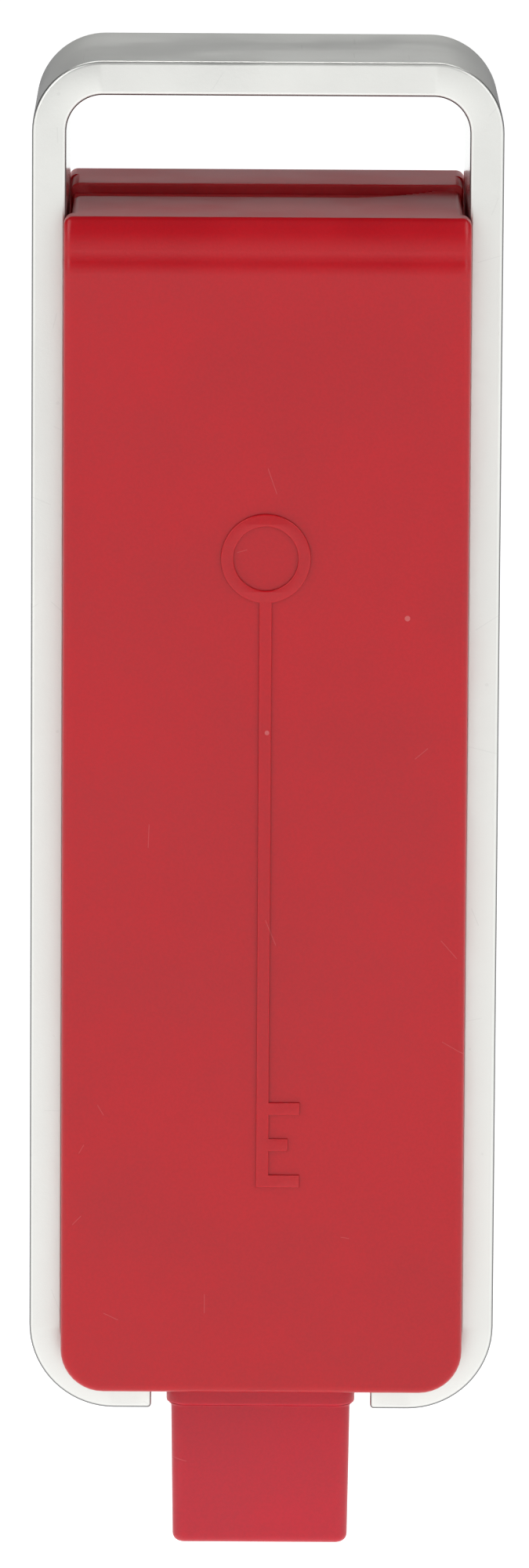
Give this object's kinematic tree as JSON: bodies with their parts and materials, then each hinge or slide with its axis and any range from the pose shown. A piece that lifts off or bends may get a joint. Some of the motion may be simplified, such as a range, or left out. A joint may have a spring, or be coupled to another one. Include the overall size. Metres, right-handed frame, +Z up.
{
  "type": "electronic locker key fob",
  "caption": "Slim battery-powered locker key fob: two red plastic shells in a bent satin metal band with a key-ring loop and a sprung-pin contact nose.",
  "frame": {"origin": "where a key ring bears on the inside of the loop: middle of the loop's inner top surface", "axes": "+Z up the fob's length towards the loop, -Y out of the front face, +X to the right seen from the front"},
  "size_m": [0.024, 0.0196, 0.0785],
  "materials": {
    "red_shell": "injection-moulded red, fine satin texture, a little sheen on the rounded edges",
    "red_nose": "injection-moulded red, slightly lighter and smoother than the shells",
    "satin_metal": "bead-blasted pale satin metal, near-white highlights, softly broken edges",
    "black_rubber": "soft matt gasket rubber",
    "black_plastic": "matt black moulded plastic",
    "zinc_steel": "zinc-plated small screws",
    "green_board": "green solder mask with traces, pads and vias",
    "chip_black": "matt epoxy packages with tinned leads",
    "ferrite": "dark sintered ferrite drum with copper turns",
    "capacitor_ceramic": "tan ceramic with tinned ends",
    "resistor_ceramic": "black film on white ceramic with tinned ends",
    "bright_can": "drawn metal can, bright",
    "battery_wrap": "shrink sleeve over a steel can, bare metal ends",
    "nickel_strip": "nickel-plated strip",
    "spring_steel": "drawn spring wire",
    "gold_brass": "gold-flashed turned brass"
  },
  "bodies": {
    "housing": {"front_shell": "red_shell", "key_band": "satin_metal", "contact_nose": "red_nose", "nose_seal": "black_rubber", "inner_frame": "black_plastic", "frame_screws": "zinc_steel", "circuit_board": "green_board", "controller_chip": "chip_black", "memory_chip": "chip_black", "regulator_chip": "chip_black", "power_coil": "ferrite", "chip_capacitors": "capacitor_ceramic", "chip_resistors": "resistor_ceramic", "timing_crystal": "bright_can", "battery": "battery_wrap", "positive_contact": "nickel_strip", "negative_plate": "nickel_strip", "negative_spring": "spring_steel", "pin_barrel_left": "gold_brass", "pin_barrel_centre": "gold_brass", "pin_barrel_right": "gold_brass", "pin_spring_left": "spring_steel", "pin_spring_centre": "spring_steel", "pin_spring_right": "spring_steel"},
    "rear_cover": {"rear_cover": "red_shell"},
    "left_pin": {"pin_plunger_left": "gold_brass"},
    "centre_pin": {"pin_plunger_centre": "gold_brass"},
    "right_pin": {"pin_plunger_right": "gold_brass"}
  },
  "joints": [
    {"name": "rear_cover_pull", "type": "slide", "parent": "housing", "child": "rear_cover", "axis": [0, 1, 0], "range_m": [0, 0.02]},
    {"name": "left_pin_press", "type": "slide", "parent": "housing", "child": "left_pin", "axis": [0, 0, 1], "range_m": [0, 0.0006], "stiffness_N_per_m": 500, "springref_m": -0.001, "deforming": ["pin_spring_left"]},
    {"name": "centre_pin_press", "type": "slide", "parent": "housing", "child": "centre_pin", "axis": [0, 0, 1], "range_m": [0, 0.0006], "stiffness_N_per_m": 500, "springref_m": -0.001, "deforming": ["pin_spring_centre"]},
    {"name": "right_pin_press", "type": "slide", "parent": "housing", "child": "right_pin", "axis": [0, 0, 1], "range_m": [0, 0.0006], "stiffness_N_per_m": 500, "springref_m": -0.001, "deforming": ["pin_spring_right"]}
  ]
}
